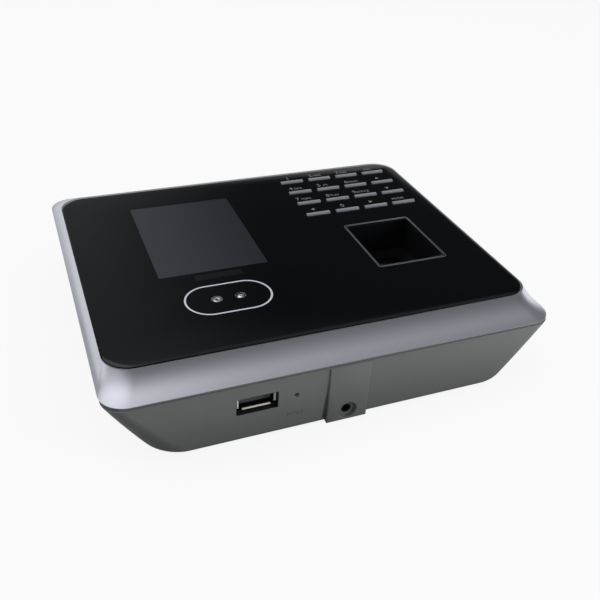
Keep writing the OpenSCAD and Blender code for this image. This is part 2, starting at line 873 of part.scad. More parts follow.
usb_tongue();
reset_switch();
reset_plunger();
tamper_switch();
tamper_plunger();
network_socket();
cable_headers();
header_pins();
speaker();
coin_cell();
cell_holder();
case_screws();
board_screws();
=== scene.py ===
import bpy
import bmesh
from math import cos, sin, pi, radians
from mathutils import Matrix, Vector


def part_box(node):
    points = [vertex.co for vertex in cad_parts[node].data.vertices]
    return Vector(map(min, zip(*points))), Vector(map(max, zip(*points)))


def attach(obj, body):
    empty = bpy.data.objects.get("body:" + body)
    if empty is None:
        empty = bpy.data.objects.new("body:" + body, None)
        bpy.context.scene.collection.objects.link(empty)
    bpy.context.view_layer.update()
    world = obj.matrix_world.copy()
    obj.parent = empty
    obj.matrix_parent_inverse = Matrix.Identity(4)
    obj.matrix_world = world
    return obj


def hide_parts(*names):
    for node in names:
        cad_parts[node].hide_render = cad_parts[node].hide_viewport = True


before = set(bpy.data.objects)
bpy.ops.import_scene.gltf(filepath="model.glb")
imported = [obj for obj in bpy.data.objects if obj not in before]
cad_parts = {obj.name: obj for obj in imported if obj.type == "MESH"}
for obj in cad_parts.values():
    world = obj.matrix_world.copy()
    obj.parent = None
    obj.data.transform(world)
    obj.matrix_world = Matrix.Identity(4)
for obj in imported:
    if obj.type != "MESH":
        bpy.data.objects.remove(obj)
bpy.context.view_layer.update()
print("frame loaded:", len(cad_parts), "nodes")

mm = 0.001


def boxOf(node):
    # a node's box in millimetres, as two corners
    low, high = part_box(node)
    return [v / mm for v in low], [v / mm for v in high]


def roundedRing(mesh, halfX, halfY, radius, level, centre=(0, 0), steps=14):
    # the edges of a rounded rectangle
    verts = []
    for quarter, (signX, signY) in enumerate(((1, 1), (-1, 1), (-1, -1), (1, -1))):
        for i in range(steps + 1 if radius > 0 else 1):
            angle = (quarter + i / steps) * pi / 2
            verts.append(mesh.verts.new((centre[0] + signX * (halfX - radius) + radius * cos(angle),
                                         centre[1] + signY * (halfY - radius) + radius * sin(angle), level)))
    return [mesh.edges.new(pair) for pair in zip(verts, verts[1:] + verts[:1])]


def loft(mesh, rings, closed=False, steps=14):
    # rings of (halfX, halfY, radius, level, centre); closed joins the last to the first
    loops = [roundedRing(mesh, *ring, steps=steps) for ring in rings]
    pairs = list(zip(loops, loops[1:]))
    if closed:
        pairs.append((loops[-1], loops[0]))
    for low, high in pairs:
        bmesh.ops.bridge_loops(mesh, edges=low + high)
    if not closed:
        for end in (loops[0], loops[-1]):
            bmesh.ops.contextual_create(mesh, geom=end)


def plate(mesh, centre, halfX, halfY, radius, low, high, edge=0, edgeLow=0, steps=10):
    # a rounded slab whose upper and lower rims may be rounded over
    rings = []
    turn = [0, 22.5, 45, 67.5, 90]
    if edgeLow:
        rings += [(halfX - edgeLow * (1 - sin(radians(a))), halfY - edgeLow * (1 - sin(radians(a))),
                   max(radius - edgeLow * (1 - sin(radians(a))), 0.02), low + edgeLow * (1 - cos(radians(a))), centre)
                  for a in turn]
    else:
        rings.append((halfX, halfY, radius, low, centre))
    if edge:
        rings += [(halfX - edge * (1 - cos(radians(a))), halfY - edge * (1 - cos(radians(a))),
                   max(radius - edge * (1 - cos(radians(a))), 0.02), high - edge * (1 - sin(radians(a))), centre)
                  for a in turn]
    else:
        rings.append((halfX, halfY, radius, high, centre))
    part = bmesh.new()
    loft(part, rings, steps=steps)
    joinInto(mesh, part)


def joinInto(mesh, part):
    # closes seams, turns faces outwards and adds the part to mesh
    bmesh.ops.remove_doubles(part, verts=part.verts, dist=0.0005)
    bmesh.ops.recalc_face_normals(part, faces=part.faces)
    kept = bpy.data.meshes.new("part")
    part.to_mesh(kept)
    part.free()
    mesh.from_mesh(kept)
    bpy.data.meshes.remove(kept)


def block(mesh, low, high, edge=0, segments=2):
    # a box between two corners with its edges rounded
    part = bmesh.new()
    bmesh.ops.create_cube(part, size=1)
    size = [h - l for l, h in zip(low, high)]
    bmesh.ops.scale(part, vec=size, verts=part.verts)
    bmesh.ops.translate(part, vec=[(l + h) / 2 for l, h in zip(low, high)], verts=part.verts)
    if edge:
        bmesh.ops.bevel(part, geom=part.edges[:], offset=edge, segments=segments, profile=0.5,
                        affect="EDGES", material=-1)
    joinInto(mesh, part)


def turned(mesh, profile, place, axis="Z", steps=48):
    # spins a profile of (radius, height) pairs about an axis through place
    part = bmesh.new()
    verts = [part.verts.new((r, 0, h)) for r, h in profile]
    edges = [part.edges.new(pair) for pair in zip(verts, verts[1:])]
    bmesh.ops.spin(part, geom=verts + edges, cent=(0, 0, 0), axis=(0, 0, 1), angle=2 * pi,
                   steps=steps, use_merge=True)
    if axis == "Y":
        bmesh.ops.rotate(part, cent=(0, 0, 0), matrix=Matrix.Rotation(-pi / 2, 3, "X"), verts=part.verts)
    bmesh.ops.translate(part, vec=place, verts=part.verts)
    joinInto(mesh, part)


def carve(mesh, tool, kind="DIFFERENCE"):
    # a Boolean on mesh; the tool is used up
    sides = []
    for part in (mesh, tool):
        data = bpy.data.meshes.new("side")
        part.to_mesh(data)
        sides.append(bpy.data.objects.new("side", data))
        bpy.context.scene.collection.objects.link(sides[-1])
    step = sides[0].modifiers.new("carve", "BOOLEAN")
    step.operation = kind
    step.solver = "EXACT"
    step.object = sides[1]
    solid = bpy.data.meshes.new_from_object(sides[0].evaluated_get(bpy.context.evaluated_depsgraph_get()))
    mesh.clear()
    mesh.from_mesh(solid)
    tool.free()
    bpy.data.meshes.remove(solid)
    for side in sides:
        data = side.data
        bpy.data.objects.remove(side)
        bpy.data.meshes.remove(data)
    bmesh.ops.remove_doubles(mesh, verts=mesh.verts, dist=0.0005)


def addPiece(name, mesh, finish, replaced=(), body="housing", sharp=32):
    # millimetres to metres, shading, finish and place in the frame
    bmesh.ops.scale(mesh, vec=(mm, mm, mm), verts=mesh.verts)
    mesh.normal_update()
    for face in mesh.faces:
        face.smooth = max(abs(v) for v in face.normal) < 0.99995
    data = bpy.data.meshes.new(name)
    mesh.to_mesh(data)
    mesh.free()
    data.set_sharp_from_angle(angle=radians(sharp))
    data.materials.append(finish)
    piece = bpy.data.objects.new(name, data)
    bpy.context.scene.collection.objects.link(piece)
    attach(piece, body)
    if replaced:
        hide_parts(*replaced)
    return piece


def lettering(mesh, text, height, place, facing="Z", rise=0.03):
    # raised letters of a cap height; place is the middle of their line
    curve = bpy.data.curves.new("letters", "FONT")
    curve.body = text
    curve.resolution_u = 3
    curve.extrude = 0.5
    line = bpy.data.objects.new("letters", curve)
    bpy.context.scene.collection.objects.link(line)
    shape = bpy.data.meshes.new_from_object(line.evaluated_get(bpy.context.evaluated_depsgraph_get()))
    part = bmesh.new()
    part.from_mesh(shape)
    bpy.data.objects.remove(line)
    bpy.data.curves.remove(curve)
    bpy.data.meshes.remove(shape)
    low = [min(v.co[i] for v in part.verts) for i in range(3)]
    high = [max(v.co[i] for v in part.verts) for i in range(3)]
    size = height / (high[1] - low[1])
    bmesh.ops.translate(part, vec=[-(low[0] + high[0]) / 2, -(low[1] + high[1]) / 2, -low[2]], verts=part.verts)
    bmesh.ops.scale(part, vec=(size, size, rise), verts=part.verts)
    if facing == "-Y":
        bmesh.ops.rotate(part, cent=(0, 0, 0), matrix=Matrix.Rotation(pi / 2, 3, "X"), verts=part.verts)
    bmesh.ops.translate(part, vec=place, verts=part.verts)
    joinInto(mesh, part)


def tone(red, green, blue):
    # a colour as a screen shows it, 0 to 255, made linear
    return [((v / 255 + 0.055) / 1.055) ** 2.4 if v > 10 else v / 3295 for v in (red, green, blue)] + [1]


def makeFinish(name, colour, roughness=0.5, metallic=0, specular=0.5, coat=0, grain=0, grainSize=0.3,
               mottle=0.05, mottleSize=8, streak=(1, 1, 1), paintedShade=None):
    # sizes are in millimetres; the last argument, (axis, from, to, share), is painted shade that darkens the colour
    # along an axis
    material = bpy.data.materials.new(name)
    material.use_nodes = True
    nodes, links = material.node_tree.nodes, material.node_tree.links
    shader = nodes["Principled BSDF"]
    place = nodes.new("ShaderNodeTexCoord")
    stretch = nodes.new("ShaderNodeMapping")
    stretch.inputs["Scale"].default_value = streak
    links.new(place.outputs["Object"], stretch.inputs["Vector"])
    broad = nodes.new("ShaderNodeTexNoise")
    broad.inputs["Scale"].default_value = 1000 / mottleSize
    broad.inputs["Detail"].default_value = 4
    links.new(stretch.outputs["Vector"], broad.inputs["Vector"])
    fine = nodes.new("ShaderNodeTexNoise")
    fine.inputs["Scale"].default_value = 1000 / grainSize
    fine.inputs["Detail"].default_value = 2
    links.new(stretch.outputs["Vector"], fine.inputs["Vector"])

    shade = nodes.new("ShaderNodeMapRange")
    shade.inputs["To Min"].default_value = 1 - mottle
    shade.inputs["To Max"].default_value = 1 + mottle
    links.new(broad.outputs["Fac"], shade.inputs["Value"])
    level = shade.outputs["Result"]
    # painted shade: the colour darkens smoothly along one axis
    if paintedShade:
        axis, start, end, share = paintedShade
        parts = nodes.new("ShaderNodeSeparateXYZ")
        links.new(place.outputs["Object"], parts.inputs["Vector"])
        along = nodes.new("ShaderNodeMapRange")
        along.interpolation_type = "SMOOTHSTEP"
        along.inputs["From Min"].default_value = start * mm
        along.inputs["From Max"].default_value = end * mm
        along.inputs["To Min"].default_value = 1
        along.inputs["To Max"].default_value = share
        links.new(parts.outputs[axis], along.inputs["Value"])
        both = nodes.new("ShaderNodeMath")
        both.operation = "MULTIPLY"
        links.new(level, both.inputs[0])
        links.new(along.outputs["Result"], both.inputs[1])
        level = both.outputs["Value"]
    tint = nodes.new("ShaderNodeVectorMath")
    tint.operation = "SCALE"
    tint.inputs[0].default_value = colour[:3]
    links.new(level, tint.inputs["Scale"])
    links.new(tint.outputs["Vector"], shader.inputs["Base Color"])

    polish = nodes.new("ShaderNodeMapRange")
    polish.inputs["To Min"].default_value = roughness * 0.75
    polish.inputs["To Max"].default_value = min(roughness * 1.25, 1)
    links.new(broad.outputs["Fac"], polish.inputs["Value"])
    links.new(polish.outputs["Result"], shader.inputs["Roughness"])
    if grain:
        bump = nodes.new("ShaderNodeBump")
        bump.inputs["Strength"].default_value = grain
        bump.inputs["Distance"].default_value = grainSize * mm / 4
        links.new(fine.outputs["Fac"], bump.inputs["Height"])
        links.new(bump.outputs["Normal"], shader.inputs["Normal"])
    shader.inputs["Metallic"].default_value = metallic
    shader.inputs["Specular IOR Level"].default_value = specular
    shader.inputs["Coat Weight"].default_value = coat
    shader.inputs["Coat Roughness"].default_value = 0.08
    return material


finishes = {
    "black_panel": makeFinish("blackPanel", tone(8, 12, 15), 0.1, specular=0.35, mottle=0.04, mottleSize=60),
    "silver_bezel": makeFinish("silverBezel", tone(198, 200, 210), 0.33, metallic=0.85, grain=0.12,
                               grainSize=0.12, mottle=0.02, mottleSize=20),
    # the case colour carries painted shade, growing darker towards the back where the floor shades it
    "grey_case": makeFinish("greyCasePaintedShade", tone(130, 133, 132), 0.5, specular=0.5, grain=0.5, grainSize=0.35,
                            mottle=0.04, mottleSize=6, paintedShade=("Z", 24, -4, 0.62)),
    "plate_steel": makeFinish("plateSteel", tone(196, 198, 200), 0.36, metallic=0.9, grain=0.08, grainSize=0.4,
                              mottle=0.08, mottleSize=9),
    "black_plastic": makeFinish("blackPlastic", tone(38, 39, 41), 0.5, grain=0.3, grainSize=0.3),
    "tape": makeFinish("blackTape", tone(30, 30, 31), 0.85, grain=0.3, grainSize=0.6),
    # the screen pane colour carries painted shade, growing darker towards the right
    "screen_window": makeFinish("screenWindowPaintedShade", tone(60, 64, 70), 0.12, specular=0.35, mottle=0.03,
                                mottleSize=40, paintedShade=("X", -52, -4, 0.6)),
    "display_glass": makeFinish("displayGlass", tone(44, 47, 52), 0.12, mottle=0.03),
    "display_steel": makeFinish("displaySteel", tone(186, 188, 190), 0.3, metallic=0.95, grain=0.06,
                                streak=(1, 12, 1)),
    "white_plastic": makeFinish("whitePlastic", tone(224, 226, 226), 0.45, grain=0.1, mottle=0.02),
    "ribbon_film": makeFinish("ribbonFilm", tone(186, 122, 40), 0.35, mottle=0.12, mottleSize=2,
                              streak=(6, 1, 1)),
    "ring_silver": makeFinish("ringSilver", tone(230, 232, 246), 0.3, metallic=0.1, grain=0.05, mottle=0.03),
    "lens_window": makeFinish("lensWindow", tone(44, 46, 50), 0.08, coat=0.6, mottle=0.05, mottleSize=1),
    "camera_plastic": makeFinish("cameraPlastic", tone(30, 30, 32), 0.55, grain=0.2),
    "board_green": makeFinish("boardGreen", tone(28, 84, 54), 0.4, grain=0.1, mottle=0.2, mottleSize=3,
                              streak=(1, 5, 1)),
    "infrared_window": makeFinish("infraredWindow", tone(22, 24, 27), 0.2, specular=0.35, mottle=0.06),
    "led_clear": makeFinish("ledClear", tone(190, 190, 204), 0.1, coat=0.5),
    "grey_rubber": makeFinish("greyRubber", tone(140, 141, 142), 0.8, grain=0.3, grainSize=0.4),
    "well_plastic": makeFinish("wellPlastic", tone(20, 21, 23), 0.25, specular=0.3, grain=0.1, mottle=0.1,
                               mottleSize=10),
    "sensor_glass": makeFinish("sensorGlass", tone(15, 12, 13), 0.06, coat=0.5, mottle=0.08, mottleSize=5),
    "key_plastic": makeFinish("keyPlastic", tone(158, 161, 170), 0.25, metallic=0.4, coat=1, grain=0.1,
                              grainSize=0.15, mottle=0.03),
    "shield_steel": makeFinish("shieldSteel", tone(190, 190, 188), 0.35, metallic=0.95, grain=0.08),
    "chip_epoxy": makeFinish("chipEpoxy", tone(34, 34, 36), 0.6, grain=0.3, grainSize=0.2),
    "socket_steel": makeFinish("socketSteel", tone(110, 109, 106), 0.22, metallic=0.95, grain=0.05, mottle=0.1,
                               mottleSize=2),
    "tongue_plastic": makeFinish("tonguePlastic", tone(96, 97, 100), 0.45, grain=0.15),
    "ivory_plastic": makeFinish("ivoryPlastic", tone(222, 216, 196), 0.45, grain=0.15, mottle=0.04),
    "contact_brass": makeFinish("contactBrass", tone(214, 178, 96), 0.25, metallic=0.95, mottle=0.08,
                                mottleSize=1),
    "speaker_body": makeFinish("speakerBody", tone(46, 46, 50), 0.6, grain=0.3),
    "cell_steel": makeFinish("cellSteel", tone(200, 200, 202), 0.3, metallic=0.95, grain=0.1, grainSize=0.2),
    "black_screw": makeFinish("blackScrew", tone(40, 40, 43), 0.4, metallic=0.7, grain=0.1, grainSize=0.2,
                              mottle=0.15, mottleSize=1),
    "steel_screw": makeFinish("steelScrew", tone(176, 176, 178), 0.35, metallic=0.95, grain=0.1,
                              grainSize=0.2, mottle=0.15, mottleSize=1),
}
wellRim = makeFinish("wellRim", tone(26, 28, 32), 0.15, coat=0.8, grain=0.05, mottle=0.04)
# a lighter ring colour that is a painted highlight on the well's edges
wellEdgeHighlight = makeFinish("wellEdgeHighlight", tone(100, 104, 110), 0.2, coat=0.8, mottle=0.04)
# near white: a painted highlight for the light on the socket's steel lips
socketLipHighlight = makeFinish("socketLipHighlight", tone(252, 248, 238), 0.3, coat=0.4, mottle=0.03)
lensRing = makeFinish("lensRing", tone(84, 85, 88), 0.3, coat=0.5, mottle=0.04)
lensMirror = makeFinish("lensMirror", tone(226, 226, 228), 0.2, metallic=0.9, mottle=0.05, mottleSize=1)
legendInk = makeFinish("legendInk", tone(136, 140, 144), 0.6, grain=0.1, mottle=0.06, mottleSize=0.6)
print("finishes made:", len(finishes))


# the black face, cut for everything that shows through it
face = {"rim": 1.3, "slotCorner": 0.35, "seam": 0.02}
panelLow, panelHigh = boxOf("front_panel")
top = panelHigh[2]
halfX, halfY, panelRadius = panelHigh[0], panelHigh[1], 9.7
ringX, ringY, ringHalf, ringRadius, ringLine = -31.1, -32.75, 6.96, 9.08, 0.82
lensX = (ringX - 4.475, ringX + 4.475)
keyNames = ("key_1", "key_2", "key_3", "key_escape", "key_4", "key_5", "key_6", "key_up",
            "key_7", "key_8", "key_9", "key_down", "key_left", "key_0", "key_right", "key_ok")


def middle(node):
    low, high = boxOf(node)
    return (low[0] + high[0]) / 2, (low[1] + high[1]) / 2


def holePlate(mesh, node, gap, radius, low, high):
    lowest, highest = boxOf(node)
    plate(mesh, middle(node), (highest[0] - lowest[0]) / 2 + gap, (highest[1] - lowest[1]) / 2 + gap,
          radius, low, high)


mesh = bmesh.new()
loft(mesh, [(halfX - inset, halfY - inset, panelRadius - inset, level) for inset, level in
            ((0, panelLow[2]), (0, top - 0.42), (0.05, top - 0.28), (0.18, top - 0.19),
             (face["rim"] * 0.5, top - 0.11), (face["rim"] - 0.1, top - 0.012), (face["rim"], top))], steps=20)
bmesh.ops.recalc_face_normals(mesh, faces=mesh.faces)
holes = bmesh.new()
holePlate(holes, "screen_window", face["seam"], 0.1, 20, 40)
holePlate(holes, "infrared_window", face["seam"], 0.1, 20, 40)
wellX, wellY = middle("finger_well")
plate(holes, (wellX, wellY), 15.35, 17.85, 1.45, 20, 40)
for x in lensX:
    turned(holes, [(0, 20), (2.22, 20), (2.22, 40), (0, 40)], (x, ringY, 0))
for node in keyNames:
    plate(holes, middle(node), 5.55, 1.2, face["slotCorner"], 20, 40, steps=4)
carve(mesh, holes)
groove = bmesh.new()
loft(groove, [(ringHalf + r, r, r - 0.002, z, (ringX, ringY)) for r, z in
              ((ringRadius - ringLine / 2, 31.8), (ringRadius + ringLine / 2, 31.8),
               (ringRadius + ringLine / 2, 40), (ringRadius - ringLine / 2, 40))], closed=True, steps=24)
bmesh.ops.recalc_face_normals(groove, faces=groove.faces)
carve(mesh, groove)
addPiece("panel_cover", mesh, finishes["black_panel"], ["front_panel"])

mesh = bmesh.new()
loft(mesh, [(ringHalf + r, r, r - 0.002, z, (ringX, ringY)) for r, z in
            ((ringRadius - 0.4, 31.8), (ringRadius + 0.4, 31.8), (ringRadius + 0.4, 32.1),
             (ringRadius + 0.32, 32.19), (ringRadius - 0.32, 32.19), (ringRadius - 0.4, 32.1))],
     closed=True, steps=24)
bmesh.ops.recalc_face_normals(mesh, faces=mesh.faces)
addPiece("ring_line", mesh, finishes["ring_silver"], ["ring_trim"])

# the screen pane, whose finish is darker towards the right as painted shade
mesh = bmesh.new()
holePlate(mesh, "screen_window", 0, 0.1, boxOf("screen_window")[0][2], top)
addPiece("screen_pane", mesh, finishes["screen_window"], ["screen_window"])
print("face made")

# lenses: each a grey ring, one round a bright collar and a dark eye, one round a bright bead
lens = {"outer": 2.2, "ring": 0.65, "eye": 0.62, "bead": 1.35}
for name, x, finish in (("colour_lens_ring", lensX[0], lensRing),
                        ("infrared_lens_ring", lensX[1], finishes["lens_window"])):
    mesh = bmesh.new()
    inner = lens["outer"] - lens["ring"]
    turned(mesh, [(0, 31.02), (lens["outer"], 31.02), (lens["outer"], 32.02), (lens["outer"] - 0.1, 32.1),
                  (lens["outer"] - 0.25, 32.12), (inner, 31.85), (inner, 31.5), (0, 31.5)], (x, ringY, 0))
    addPiece(name, mesh, finish, ["lens_windows"])
mesh = bmesh.new()
turned(mesh, [(lens["eye"], 31.4)] +
       [(lens["eye"] + 0.46 + 0.46 * cos(a), 31.62 + 0.4 * sin(a)) for a in
        [radians(180 - 20 * i) for i in range(10)]] + [(lens["eye"] + 0.92, 31.4), (lens["eye"], 31.4)],
       (lensX[0], ringY, 0))
addPiece("colour_lens_collar", mesh, lensMirror)
mesh = bmesh.new()
turned(mesh, [(0, 31.4)] + [(lens["eye"] * sin(a), 31.5 + 0.3 * cos(a)) for a in
                            [radians(90 - 15 * i) for i in range(7)]], (lensX[0], ringY, 0))
addPiece("colour_lens_eye", mesh, finishes["lens_window"])
mesh = bmesh.new()
turned(mesh, [(0, 31.4)] + [(lens["bead"] * sin(a), 31.5 + 0.6 * cos(a)) for a in
                            [radians(90 - 10 * i) for i in range(10)]], (lensX[1], ringY, 0))
addPiece("infrared_lens_bead", mesh, lensMirror)

# key bars: half-round ridges on a flange and a stem
bar = {"crown": 0.98, "end": 0.5}
for node in keyNames:
    low, high = boxOf(node)
    x, y = middle(node)
    mesh = bmesh.new()
    part = bmesh.new()
    bmesh.ops.create_cube(part, size=1)
    bmesh.ops.scale(part, vec=(10.8, 2.1, high[2] - 30.5), verts=part.verts)
    bmesh.ops.translate(part, vec=(x, y, (high[2] + 30.5) / 2), verts=part.verts)
    ridge = [e for e in part.edges if all(v.co.z > 31 for v in e.verts) and
             abs(e.verts[0].co.x - e.verts[1].co.x) > 1]
    bmesh.ops.bevel(part, geom=ridge, offset=bar["crown"], segments=7, profile=0.5, affect="EDGES", material=-1)
    ends = [e for e in part.edges if all(abs(abs(v.co.x - x) - 5.4) < 0.001 and v.co.z > 31.5 for v in e.verts)]
    bmesh.ops.bevel(part, geom=ends, offset=bar["end"], segments=3, profile=0.5, affect="EDGES", material=-1,
                    clamp_overlap=True)
    joinInto(mesh, part)
    plate(mesh, (x, y), 6.1, 1.75, 0.4, high[2] - 3.4, 30.5, steps=4)
    turned(mesh, [(0, low[2]), (1.2, low[2]), (1.2, high[2] - 3.4), (0, high[2] - 3.4)], (x, y, 0), steps=24)
    addPiece(node + "_bar", mesh, finishes["key_plastic"], [node], body=node)
print("keys made")

# legends above the bars
legend = {"rise": 4.6, "shift": -0.6, "digit": 2.6, "letter": 1.65, "gap": 0.45, "base": 3.3}
legends = ("1", "2ABC", "3DEF", "ESC", "4GHI", "5JKL", "6MNO", "", "7PQRS", "8TUV", "9WXYZ", "", "", "0", "", "M/OK")
mesh = bmesh.new()
for node, text in zip(keyNames, legends):
    x, y = middle(node)
    x, base = x + legend["shift"], y + legend["base"]
    if text[:1].isdigit():
        digit, letters = text[0], text[1:]
        wide = 0.58 * legend["digit"] + (legend["gap"] + 0.86 * legend["letter"] * len(letters) if letters else 0)
        left = x - wide / 2
        lettering(mesh, digit, legend["digit"], (left + 0.29 * legend["digit"], base + legend["digit"] / 2, top))
        if letters:
            lettering(mesh, letters, legend["letter"],
                      ((left + 0.58 * legend["digit"] + legend["gap"] + x + wide / 2) / 2,
                       base + legend["letter"] / 2, top))
    elif text:
        lettering(mesh, text, legend["letter"] + 0.1, (x, base + 0.9, top))
for node, turn in (("key_up", 0), ("key_down", pi), ("key_left", pi / 2), ("key_right", -pi / 2)):
    x, y = middle(node)
    arrow = bmesh.new()
    bmesh.ops.create_circle(arrow, cap_ends=True, segments=3, radius=1.15)
    flat = bmesh.ops.extrude_face_region(arrow, geom=arrow.faces[:])["geom"]
    bmesh.ops.translate(arrow, vec=(0, 0, 0.03), verts=[v for v in flat if isinstance(v, bmesh.types.BMVert)])
    bmesh.ops.rotate(arrow, cent=(0, 0, 0), matrix=Matrix.Rotation(turn, 3, "Z"), verts=arrow.verts)
    bmesh.ops.translate(arrow, vec=(x + legend["shift"], y + legend["rise"], top), verts=arrow.verts)
    joinInto(mesh, arrow)
addPiece("keypad_legends", mesh, legendInk)
print("legends made")

# the finger well: a black cup under a grey rim
well = {"rim": 0.8, "lip": 0.3, "ledge": 0.6, "split": 31.3, "floor": 17.5, "scallop": 1.9, "fillet": 1.4,
        "edge": 0.23}
low, high = boxOf("finger_well")
halfW, halfH = 15.3 - well["rim"], 17.8 - well["rim"]


def wellCavity():
    # the finger's room, its near wall bowed towards the reader
    cavity = bmesh.new()
    plate(cavity, (wellX, wellY + 1.25), halfW, halfH + 1.25, 3, well["floor"], 40, edgeLow=well["fillet"],
          steps=12)
    bow = (halfW ** 2 + well["scallop"] ** 2) / (2 * well["scallop"])
    disc = bmesh.new()
    turned(disc, [(0, 0), (bow, 0), (bow, 50), (0, 50)], (wellX, wellY - halfH + 0.6 + bow, 0), steps=180)
    carve(cavity, disc, "INTERSECT")
    room = bmesh.new()
    block(room, (wellX - 20, wellY - halfH + 0.6, 0), (wellX + 20, wellY + halfH, 60))
    carve(cavity, room, "INTERSECT")
    return cavity


mesh = bmesh.new()
plate(mesh, (wellX, wellY), 15.3, 17.8, 1.4, low[2], well["split"])
flange = bmesh.new()
plate(flange, (wellX, wellY), 17, 19.5, 1.4, 29.4, 30.5)
carve(mesh, flange, "UNION")
carve(mesh, wellCavity())
eye = bmesh.new()
block(eye, (wellX - 8.55, wellY - 10.55, 10), (wellX + 8.55, wellY + 10.55, 20))
carve(mesh, eye)
addPiece("finger_well_cup", mesh, finishes["well_plastic"], ["finger_well"])
mesh = bmesh.new()
plate(mesh, (wellX, wellY), 15.3, 17.8, 1.4, well["split"], high[2], edge=well["lip"])
mouth = bmesh.new()
loft(mouth, [(halfW + flare, halfH + flare, 1.8 + flare, level, (wellX, wellY)) for flare, level in
             ((0, high[2] - well["ledge"]), (0, high[2] - 0.3), (0.05, high[2] - 0.15), (0.15, high[2] - 0.05),
              (0.3, high[2] + 0.01), (0.3, 40))], steps=12)
bmesh.ops.recalc_face_normals(mouth, faces=mouth.faces)
carve(mesh, mouth)
carve(mesh, wellCavity())
addPiece("finger_well_rim", mesh, wellRim)
# painted highlights: lighter rings at the outer and inner edges of the rim stand in for the light those edges catch
mesh = bmesh.new()
for inset in (0.02, well["rim"] - 0.24):
    edge, room = bmesh.new(), bmesh.new()
    plate(edge, (wellX, wellY), 15.3 - inset, 17.8 - inset, 1.4, high[2] - 0.3, high[2], edge=0.05)
    inset += well["edge"]
    plate(room, (wellX, wellY), 15.3 - inset, 17.8 - inset, 1.4, high[2] - 1, high[2] + 1)
    carve(edge, room)
    joinInto(mesh, edge)
addPiece("finger_well_painted_highlight", mesh, wellEdgeHighlight)
mesh = bmesh.new()
low, high = boxOf("sensor_glass")
block(mesh, low, high, edge=0.25, segments=3)
addPiece("sensor_pane", mesh, finishes["sensor_glass"], ["sensor_glass"])
print("well made")

# the silver frame: cove, rounded lip and the tongue that goes into the case
frameShape = {"rimDrop": 0.45, "rimShare": 0.075, "lipShare": 0.997, "foot": 5.8, "coveSteps": 24,
              "lipSlope": 0.4, "steep": 2.6}
bodyX, bodyY = boxOf("bezel_frame")[1][:2]


def coveRing(share, level):
    return (halfX + (bodyX - halfX) * share, halfY + (bodyY - halfY) * share, 9.7 - 0.8 * share, level)


rings = [(80.1, 62.15, 9.8, 30.4), (80.1, 62.15, 9.8, 31.5), (80.11, 62.19, 9.82, 31.6),
         (80.14, 62.28, 9.8, 31.63), (80.2, 62.55, 9.75, 31.69)]
for i in range(frameShape["coveSteps"] + 1):
    t = i / frameShape["coveSteps"]
    share = frameShape["rimShare"] + (frameShape["lipShare"] - frameShape["rimShare"]) * t
    fall = frameShape["lipSlope"] * t + (1 - frameShape["lipSlope"]) * (1 - (1 - t) ** frameShape["steep"])
    drop = frameShape["rimDrop"] + (frameShape["foot"] - frameShape["rimDrop"]) * fall
    rings.append(coveRing(share, top - drop))
rings += [coveRing(1, 26.33), coveRing(1, 26.2), coveRing(0.996, 26.1), coveRing(0.95, 25.7),
          (80.1, 71.3, 7, 25.7), (80, 71.2, 7, 25.6), (80, 71.2, 7, 23.7),
          (78.6, 69.8, 5.6, 23.7), (78.6, 69.8, 5.6, 26.2), (78.6, 64.1, 5.6, 26.25), (78.6, 64.05, 5.6, 28.9),
          (76.7, 58.75, 6, 28.9), (76.7, 58.75, 6, 30.4)]
mesh = bmesh.new()
loft(mesh, rings, closed=True, steps=24)
bmesh.ops.recalc_face_normals(mesh, faces=mesh.faces)
notch = bmesh.new()
block(notch, (-7.9, -80, 20), (7.9, -70, 24.8))
carve(mesh, notch)
bosses = bmesh.new()
for x in (-58, 58):
    for y in (-66, 66):
        turned(bosses, [(1.5, 23.9), (3.4, 23.9), (3.4, 26.3), (1.5, 26.3), (1.5, 23.9)], (x, y, 0), steps=32)
carve(mesh, bosses, "UNION")
addPiece("bezel_shell", mesh, finishes["silver_bezel"], ["bezel_frame"], sharp=28)
print("bezel made")

# the rear case
case = {"level": 25.3, "backX": 70.4, "backY": 73.6, "backRadius": 14.6, "topX": 83.6, "topY": 73.85,
        "topRadius": 6.5, "bulge": 0.4, "backEdge": 2.8, "wall": 2.2, "floor": 3.8,
        "gap": 0.6}


def caseRing(level, inset=0):
    t = level / case["level"]
    return (case["backX"] + (case["topX"] - case["backX"]) * t + 4 * case["bulge"] * t * (1 - t) - inset,
            case["backY"] + (case["topY"] - case["backY"]) * t - inset,
            case["backRadius"] + (case["topRadius"] - case["backRadius"]) * t - min(inset, 5), level)


mesh = bmesh.new()
edge = case["backEdge"]
rings = [caseRing(edge * (1 - cos(radians(a))), edge * (1 - sin(radians(a)))) for a in range(0, 91, 10)]
rings += [caseRing(edge + (case["level"] - case["gap"] - edge) * i / 10) for i in range(1, 11)]
rings += [caseRing(case["level"] - case["gap"] + 0.08, 0.1), caseRing(case["level"] - case["gap"] + 0.1, 0.5),
          caseRing(case["level"], 0.5)]
loft(mesh, rings, steps=24)
bmesh.ops.recalc_face_normals(mesh, faces=mesh.faces)
boss = bmesh.new()
part = bmesh.new()
bmesh.ops.create_cube(part, size=1)
bmesh.ops.scale(part, vec=(15.4, 8, 24.6), verts=part.verts)
bmesh.ops.translate(part, vec=(0, -70.3, 12.3), verts=part.verts)
bmesh.ops.bevel(part, geom=[e for e in part.edges if all(v.co.y < -74 for v in e.verts)], offset=0.35,
                segments=3, profile=0.5, affect="EDGES", material=-1)
joinInto(boss, part)
carve(mesh, boss, "UNION")

